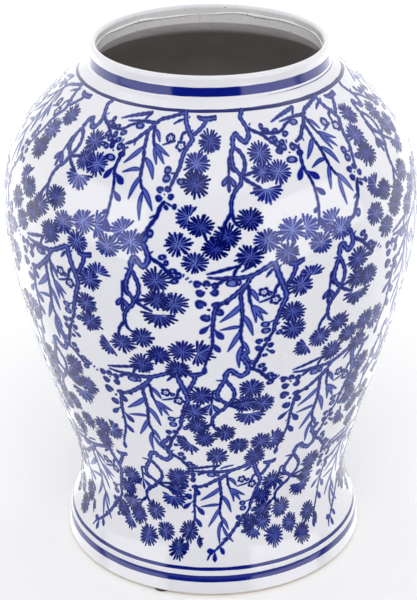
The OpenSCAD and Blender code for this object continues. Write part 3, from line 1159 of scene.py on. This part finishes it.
def top_row_bamboo(brush):
    """The top row's bamboo, which has shorter stems and other leaves."""
    for points, widths in (
            ([(-43.4, 30), (-47, 35.5), (-46.6, 41), (-46, 48)], [3.0, 2.7, 2.5, 2.4]),
            ([(-46, 47.5), (-44.6, 53), (-44, 60), (-43.5, 66)], [2.4, 2.3, 2.2, 2.0]),
            ([(-43.5, 65.5), (-42.4, 68.6), (-40.6, 72.4)], [2.0, 1.8, 1.4]),
            ([(-43, 31), (-42.5, 36), (-40.6, 42), (-39, 45.6)], [2.4, 2.1, 2.0, 1.5])):
        brush.branch(points, widths, "bamboo")
    for points, width in (
            ([(-42, 33.6), (-38.6, 37), (-36, 42)], 3.0),
            ([(-39.6, 43), (-34, 46.6), (-27.4, 50.4)], 3.0),
            ([(-39.6, 44), (-34.4, 49.6), (-30, 55.6)], 3.0),
            ([(-39.4, 45), (-37.2, 50.4), (-35, 56.4)], 2.8),
            ([(-46.8, 46), (-51.4, 51.4), (-57.4, 58)], 3.6),
            ([(-43.4, 52.6), (-38.4, 58), (-35.4, 65.6)], 4.0),
            ([(-44, 60.2), (-49.6, 60.6), (-56.4, 63.6)], 2.6),
            ([(-43.6, 64), (-46.4, 71), (-48.4, 79)], 3.0),
            ([(-41, 70.6), (-37, 76), (-33, 84)], 3.4),
            ([(-40.4, 73), (-41, 81), (-40, 90.4)], 2.7)):
        brush.leaf(points, width)


# Pine rosettes of each row, placed from that row's trunk top: (x, y, radius, tone) or, for a fan,
# its first and last angle too. Paler ones have a higher tone.
PINE_ROSETTES = (
    ((6, 26.5, 8.3, .45), (5, 38.5, 7, .5), (15.5, 39.5, 8, .6), (6, 48.5, 8.6, .6, 5, 180),
     (-6, 65.5, 7.5, .1), (-18.5, 74.5, 7.7, .15), (-33, 68.5, 7.2, .1),
     (-39.5, 63.5, 7, .4, 100, 290), (-25, 81.5, 7.4, 0), (-45, 79.5, 7.5, .3), (-36, 90.5, 7, .35),
     (3, 78.5, 7.5, .5), (17, 74.5, 8, .8), (25, 74.5, 8, .9, -80, 80), (-7, 87.5, 7.7, .2),
     (14, 87.5, 7, .5), (34, 85.5, 7.4, .6), (43, 74.5, 7.4, .9, 100, 300), (47.5, 80.5, 7.6, .8)),
    ((5, 24.5, 8, .3), (5, 37.5, 7.2, .2), (14, 39.2, 7.8, .4), (6, 47.5, 8.8, .1, 8, 172),
     (-5, 66, 7.3, .25), (-17.5, 72.5, 7.4, .35), (-26, 76.5, 7.4, .4, 80, 225), (4, 77.5, 7.4, .2),
     (18, 73, 8, .25), (26, 74.5, 8.8, .3, -80, 95), (-7, 86.5, 7.6, .3), (15, 87.5, 7.6, .2)),
    ((3.7, 27.5, 8, .3), (0, 39.5, 7.5, .3), (12, 41, 7.8, .35), (4, 48.5, 9.6, .3, 5, 175),
     (-12, 64.5, 7.4, .2), (-25.5, 69.5, 7.8, .3), (-36, 74, 8.4, .3, 60, 225),
     (-2.3, 76.5, 7.4, .25), (14, 75.5, 7.9, .3), (22.5, 75, 8.6, .35, -85, 100),
     (-17.3, 85.5, 8.2, .25), (10.7, 88, 8.2, .3)),
    ((4, 31.5, 8.9, .3), (2, 43, 7.6, .3), (-1, 50, 10, .35, 5, 175), (-19, 65.5, 8.4, .3),
     (-36, 72.5, 8, .35), (-44, 77, 8, .4, 60, 225), (-10, 79.5, 7.7, .3), (11, 77.5, 8.2, .15),
     (-26, 85.5, 8.5, .35), (2, 90.5, 8.2, 0), (17, 85, 5.5, .2, -50, 40)),
)
# The same for the rosettes beside the long branch, placed from that row's stem top
BRANCH_ROSETTES = (
    ((20, 19, 8.3, .35), (11.5, 33.2, 8.6, .6), (11.5, 45.6, 8.6, .0)),
    ((15.3, 17, 7.6, .4), (21.3, 12, 7, .7, 200, 345), (11.3, 34.5, 7.8, .35),
     (12.8, 47, 7.7, .35)),
    ((15, 19, 8, .25), (10.4, 33.4, 8.4, .3), (12.4, 45.6, 7.8, .25)),
    ((18, 24, 8.6, .3), (11, 36, 8, .3), (13, 49, 8.6, .25), (1, 57, 7.2, .3)),
)


def paint_rosettes(brush, rosettes):
    """Rosettes from a table row, each wash a little off its needles' centre."""
    for number, (x, y, r, tone, *fan) in enumerate(rosettes):
        wash = (0.7 * math.sin(2.1 * number + x), 0.9 * math.cos(1.3 * number + y))
        brush.rosette(x, y, r, fan or None, wash, tone)


REPEATS = 6


def column(turn, sway, k):
    """Drawn x of repeat k of a motif whose first one is at turn degrees. The columns stand a little
    closer at the front than at the back, by each row's sway, as the print was laid round from both
    sides."""
    around = turn + k * 360 / REPEATS
    return math.radians(around - sway * math.sin(math.radians(around))) * DRAWING_R


# Each row's first trunk or stem top: its turn in degrees, its sway, its y, how its places spread
# left and right of it, and how much lower the places at its own height hang
PINE_ROWS = ((13.9, 3.5, 22.8, 1.1, 1.1, 0.0), (-17.9, 4.4, 101.0, 1.0, 1.0, 0.0),
             (10.3, 3.5, 177.5, 1.42, 1.0, 0.0), (-17.3, 7.2, 252.5, 1.8, 1.0, 0.0))
STEM_ROWS = ((-10.1, 1.9, 21.0, 1.0, 1.0, 0.0), (17.1, 3.5, 115.6, 1.0, 1.0, 0.0),
             (-11.6, 5.6, 190.4, 1.2, 0.95, 0.0), (15.6, 4.5, 267.4, 1.38, 1.05, 4.5))
STEM_TOP = (68.0, 14.0)
TOP_ROW_STEM = (-20.5, 21.0)


def paint_pattern():
    """The rows of pines and of stems, each repeated round the jar, then the meshes of all coats."""
    for row, (turn, sway, y, left, right, sag) in enumerate(PINE_ROWS):
        for k in range(REPEATS):
            at = (column(turn, sway, k), y)
            brush = Brush(at, left=left, right=right, sag=sag)
            pine_trunk(brush, (1.2, 1.12) if row == 0 else (1.0, 1.0), 1.3 if row == 0 else 1.0)
            plum_branch(brush, 1.25 if row == 0 else 1.0)
            paint_rosettes(Brush(at), PINE_ROSETTES[row])
    for row, (turn, sway, y, left, right, sag) in enumerate(STEM_ROWS):
        for k in range(REPEATS):
            at = (column(turn, sway, k), y)
            if row == 0:
                top_row_branches(Brush(at, TOP_ROW_STEM))
                top_row_bamboo(Brush(at, TOP_ROW_STEM))
            else:
                brush = Brush(at, STEM_TOP, left, right, sag)
                upper_branch(brush)
                bamboo(brush)
                hanging_stem(brush)
                right_branch(brush, row == len(STEM_ROWS) - 1)
            paint_rosettes(Brush(at), BRANCH_ROSETTES[row])
    for coat in PAINT.values():
        coat.build()


def painted_ring(name, s_low, s_high, material, wobble, lean=0.0):
    """A painted band or line all round the jar, between two lengths along the wall. It was turned a
    little off centre: its lower edge leans down by lean towards the jar's right."""
    turns = 480
    rows = max(2, int((s_high - s_low) / 1.2) + 1)
    coat = Paint(name, 0.08, material)
    theta = np.arange(turns) * 2 * math.pi / turns
    low = s_low + wobble * (0.6 * np.sin(5 * theta + 1) + 0.4 * np.sin(23 * theta))
    low -= lean * np.sin(theta - 0.1)
    high = s_high + wobble * (0.5 * np.sin(4 * theta) + 0.5 * np.sin(31 * theta + 2))
    t = np.linspace(0, 1, rows)[:, None]
    y = WALL_LENGTH - (high * (1 - t) + low * t)
    x = np.repeat(theta[None, :] * DRAWING_R, rows, 0)
    top = np.stack([x, y], -1).reshape(-1, 2)
    faces = []
    for i in range(rows - 1):
        for j in range(turns):
            k = (j + 1) % turns
            faces.append((i * turns + j, (i + 1) * turns + j, (i + 1) * turns + k, i * turns + k))
    upper = list(range(turns))
    lower = [(rows - 1) * turns + j for j in range(turns)]
    coat.add(top, faces, faces, [(upper[::-1], True), (lower, True)], 0.4)
    return coat.build()


def paint_rings():
    painted_ring("neck_band", WALL_LENGTH - 11.6, WALL_LENGTH - 4.5, BAND, 0.12, 0.8)
    painted_ring("shoulder_line", WALL_LENGTH - 21.2, WALL_LENGTH - 18.8, LINE, 0.18, 0.4)
    painted_ring("foot_line", wall_s(PAD_TOP + 17.0), wall_s(PAD_TOP + 19.2), BAND, 0.15)
    painted_ring("foot_band", wall_s(PAD_TOP + 9.2), wall_s(PAD_TOP + 13.8), BAND, 0.12)


# ---------------- stage
# The camera fitted to the photograph: metres in front of the jar's axis and above the table, its
# turns in radians, and its lens and sensor in millimetres
CAMERA_FRONT = 1.1084
CAMERA_HEIGHT = 0.7031
CAMERA_PITCH = 0.44955
CAMERA_YAW = -0.00189
CAMERA_ROLL = -0.00907
CAMERA_LENS = 110.74
CAMERA_SENSOR = 36.0
CAMERA_CLIP = (0.05, 50.0)


def add_camera():
    """The camera at the photograph's viewing angle, turned by its yaw, pitch and roll."""
    data = bpy.data.cameras.new("camera")
    data.lens = CAMERA_LENS
    data.sensor_width = CAMERA_SENSOR
    data.clip_start, data.clip_end = CAMERA_CLIP
    camera = add_object("camera", data)
    ahead = Vector((math.sin(CAMERA_YAW) * math.cos(CAMERA_PITCH),
                    math.cos(CAMERA_YAW) * math.cos(CAMERA_PITCH),
                    -math.sin(CAMERA_PITCH)))
    right = Vector((math.cos(CAMERA_YAW), -math.sin(CAMERA_YAW), 0))
    up = right.cross(ahead)
    rolled_right = right * math.cos(CAMERA_ROLL) + up * math.sin(CAMERA_ROLL)
    rolled_up = up * math.cos(CAMERA_ROLL) - right * math.sin(CAMERA_ROLL)
    camera.matrix_world = Matrix((
        (rolled_right.x, rolled_up.x, -ahead.x, 0),
        (rolled_right.y, rolled_up.y, -ahead.y, -CAMERA_FRONT),
        (rolled_right.z, rolled_up.z, -ahead.z, CAMERA_HEIGHT),
        (0, 0, 0, 1),
    ))
    bpy.context.scene.camera = camera


def add_soft_light(name, place_at, aim_at, size, mirrored=0.0, lighting=0.0):
    """A soft light that doesn't show itself to the camera. mirrored is its radiance in the glaze,
    and lighting the radiance that it lights things with."""
    for part, radiance in (("mirrored", mirrored), ("lighting", lighting)):
        if radiance == 0.0:
            continue
        light = bpy.data.lights.new(f"{name}_{part}", "AREA")
        light.shape = "RECTANGLE"
        light.size, light.size_y = size
        light.energy = radiance * math.pi * size[0] * size[1]
        lamp = add_object(f"{name}_{part}", light)
        lamp.location = place_at
        lamp.rotation_mode = "QUATERNION"
        lamp.rotation_quaternion = (Vector(aim_at) - Vector(place_at)).to_track_quat("-Z", "Y")
        lamp.visible_camera = False
        lamp.visible_glossy = part == "mirrored"
        lamp.visible_diffuse = part == "lighting"


# How far away the panels stand, and how low and high they reach, in metres
PANEL_AWAY = 2.4
PANEL_HEIGHTS = (-2.2, 1.6)


def add_upright_panel(name, azimuth_from, azimuth_to, mirrored, lighting):
    """A tall soft panel that fills the jar's sight from one azimuth to the other, in degrees to the
    right of the camera. It reaches below the table, so that the upright walls mirror it whole."""
    a, b = math.radians(azimuth_from), math.radians(azimuth_to)
    one = Vector((math.sin(a), -math.cos(a), 0)) * PANEL_AWAY
    two = Vector((math.sin(b), -math.cos(b), 0)) * PANEL_AWAY
    middle = (one + two) / 2
    low, high = PANEL_HEIGHTS
    centre = Vector((middle.x, middle.y, (low + high) / 2))
    add_soft_light(name, centre, (0, 0, centre.z), ((two - one).length, high - low), mirrored,
                   lighting)


# The radiance of the even surround, and what goes from one value at the front to another at the
# back: each has its nearer (Y, value) and its farther (Y, value). The world's Y is that of the
# ray's direction
SURROUND = 0.65
MIRRORED_WORLD = ((-0.02, 0.02), (0.25, 1.75))
# The floor's glow is painted light
FLOOR_GLOW = ((-0.1, 0.15), (0.9, 0.36))
# The card's glow is a painted reflection
CARD_GLOW = ((-0.22, 0.20), (0.25, 2.2))


def along_y(nodes, links, coordinates, near, far):
    """A value that changes evenly along Y, from near to far, each (Y, value)."""
    place_on = nodes.new("ShaderNodeTexCoord")
    parts = nodes.new("ShaderNodeSeparateXYZ")
    links.new(place_on.outputs[coordinates], parts.inputs[0])
    node = nodes.new("ShaderNodeMapRange")
    node.inputs["From Min"].default_value, node.inputs["To Min"].default_value = near
    node.inputs["From Max"].default_value, node.inputs["To Max"].default_value = far
    links.new(parts.outputs["Y"], node.inputs["Value"])
    return node.outputs["Result"]


def glow(nodes, links, shader, near, far):
    """Painted light: white light of the surface's own, which changes along Y."""
    shader.inputs["Emission Color"].default_value = (1, 1, 1, 1)
    links.new(along_y(nodes, links, "Object", near, far), shader.inputs["Emission Strength"])


def add_world():
    """An even pale surround. The glaze mirrors it as a dark room in front and a white backdrop
    behind."""
    world = bpy.data.worlds.new("studio")
    world.use_nodes = True
    nodes, links = world.node_tree.nodes, world.node_tree.links
    background = nodes["Background"]
    background.inputs["Color"].default_value = (1, 1, 1, 1)
    mirrored = along_y(nodes, links, "Generated", *MIRRORED_WORLD)
    ray = nodes.new("ShaderNodeLightPath")
    chosen = nodes.new("ShaderNodeMix")
    chosen.inputs[2].default_value = SURROUND
    links.new(ray.outputs["Is Glossy Ray"], chosen.inputs[0])
    links.new(mirrored, chosen.inputs[3])
    links.new(chosen.outputs[0], background.inputs["Strength"])
    bpy.context.scene.world = world


def add_lights():
    """The panels at the sides, two of which only light, the light above and the fill in front."""
    add_upright_panel("panel_left", -89, -35, 2.4, 0.42)
    add_upright_panel("panel_right", 28, 86, 2.5, 0.66)
    add_upright_panel("side_left", -138, -89, 0.0, 0.45)
    add_upright_panel("side_right", 86, 138, 0.0, 0.6)
    add_soft_light("overhead", (0, -0.5, 2.4), (0, -0.5, 0), (3.4, 3.2), 0.8, 0.6)
    add_soft_light("front_fill", (0, -1.5, 2.0), (0, 0, 0.3), (1.2, 0.8), 0.0, 5.2)
    add_world()
    bpy.context.scene.view_settings.view_transform = "Standard"


# Metres: half the table top, the front edge of the card, the radius it leaves out, and its height
FLOOR_HALF = 6.0
CARD_FRONT = -0.68
CARD_HOLE = 0.14
CARD_LIFT = 0.0005


def pale_floor_material():
    """Plain white table top, hardly uneven, with a faint glow of painted light that grows towards
    the back.
    """
    material, nodes, links, shader = new_material("pale_floor", 0.9)
    base = ramp(nodes, links, noise(nodes, links, 1.5, 2.0),
                [(0.3, (0.88, 0.88, 0.885, 1)), (0.7, (0.90, 0.90, 0.90, 1))])
    links.new(base, shader.inputs["Base Color"])
    glow(nodes, links, shader, *FLOOR_GLOW)
    return material


def reflection_card_material():
    """Painted reflection: a black card with its own glow, mirrored by the glaze in place of the
    table top, dim in front of the jar, bright beside and behind it."""
    material, nodes, links, shader = new_material("painted_reflection_card", 1.0)
    shader.inputs["Base Color"].default_value = (0, 0, 0, 1)
    glow(nodes, links, shader, *CARD_GLOW)
    return material


def add_floor():
    """The table top, and a glowing card at its height that only the glaze sees, a painted
    reflection. The card ends in front of the jar and leaves out the patch that the jar stands on."""
    far = FLOOR_HALF
    sheet = bpy.data.meshes.new("floor")
    sheet.from_pydata([(-far, -far, 0), (far, -far, 0), (far, far, 0), (-far, far, 0)], [],
                      [(0, 1, 2, 3)])
    sheet.materials.append(pale_floor_material())
    around = np.radians(np.arange(1.5, 360, 3))
    way = np.stack([np.cos(around), np.sin(around)], 1)
    reach = np.minimum(np.where(way[:, 1] < 0, CARD_FRONT, far) / way[:, 1],
                       far / np.abs(way[:, 0]))
    inner = np.column_stack([way * CARD_HOLE, np.full(len(way), CARD_LIFT)])
    outer = np.column_stack([way * reach[:, None], np.full(len(way), CARD_LIFT)])
    n = len(way)
    card = bpy.data.meshes.new("painted_reflection_card")
    card.from_pydata(np.concatenate([inner, outer]).tolist(), [],
                     [(i, n + i, n + (i + 1) % n, (i + 1) % n) for i in range(n)])
    card.materials.append(reflection_card_material())
    for mesh in (sheet, card):
        piece = add_object(mesh.name, mesh)
        seen_in_glaze = mesh == card
        piece.visible_glossy = seen_in_glaze
        piece.visible_camera = not seen_in_glaze
        piece.visible_diffuse = not seen_in_glaze
        piece.visible_shadow = not seen_in_glaze


make_lip_ring()
make_neck_collar()
make_upper_body()
make_lower_body()
make_foot_ring()
make_floor_slab()
make_neck_seam()
for pad in (1, 2, 3):
    make_pad(pad)
paint_rings()
paint_pattern()
add_floor()
add_lights()
add_camera()
